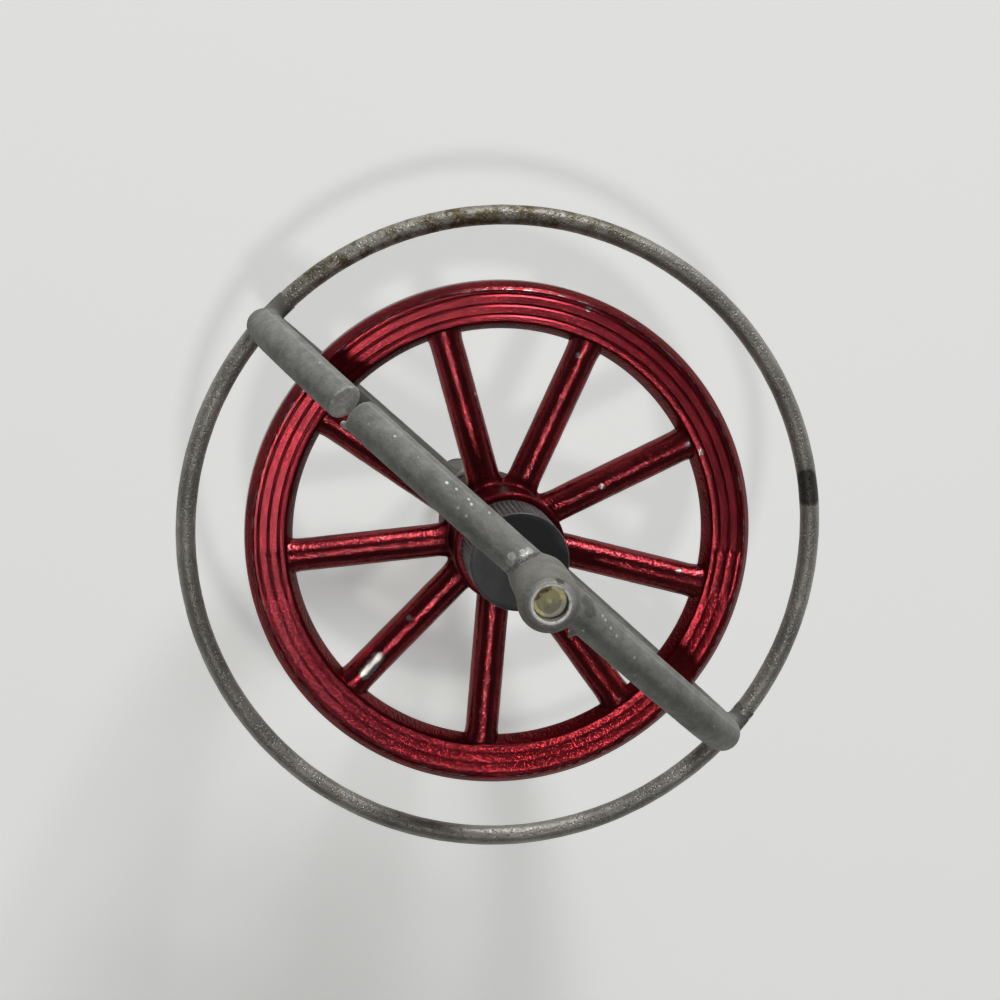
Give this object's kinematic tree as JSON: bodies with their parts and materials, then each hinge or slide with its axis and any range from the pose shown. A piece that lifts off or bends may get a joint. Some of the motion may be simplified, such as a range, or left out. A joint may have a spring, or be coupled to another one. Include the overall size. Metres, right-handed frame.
{
  "type": "gyroscope",
  "caption": "Hand-held toy gyroscope: a spoked flywheel spins on an axle inside a split upright ring frame, with a wire ring round its equator.",
  "frame": {"origin": "the centre of the flywheel, on the spin axis and in the plane of the equator ring", "axes": "+Z along the spin axis towards the front nose; +X in the plane of the upright frame, away from its split; +Y to the side that the ring collars are on"},
  "size_m": [0.0644, 0.0635, 0.0748],
  "materials": {
    "ring_steel": "dark worn steel wire, pitted, with brown stains and bright rubbed patches",
    "cast_grey": "matte grey zinc casting with small bright nicks",
    "bearing_brass": "dull brass with dirt",
    "axle_steel": "turned steel, lightly tarnished",
    "wheel_red": "glossy red translucent lacquer on bright metal, chipped in places",
    "drum_black": "black finish, glossy end face, knurled side with worn edges"
  },
  "bodies": {
    "frame": {"axle_frame": "cast_grey", "equator_ring": "ring_steel", "front_pivot_cup": "cast_grey", "rear_pivot_cup": "cast_grey", "front_bearing": "bearing_brass", "rear_bearing": "bearing_brass"},
    "rotor": {"axle": "axle_steel", "flywheel": "wheel_red", "front_drum": "drum_black", "rear_drum": "drum_black"}
  },
  "joints": [
    {"name": "rotor_spin", "type": "hinge", "parent": "frame", "child": "rotor", "pos_m": [0, 0, 0], "axis": [0, 0, 1], "continuous": true}
  ]
}
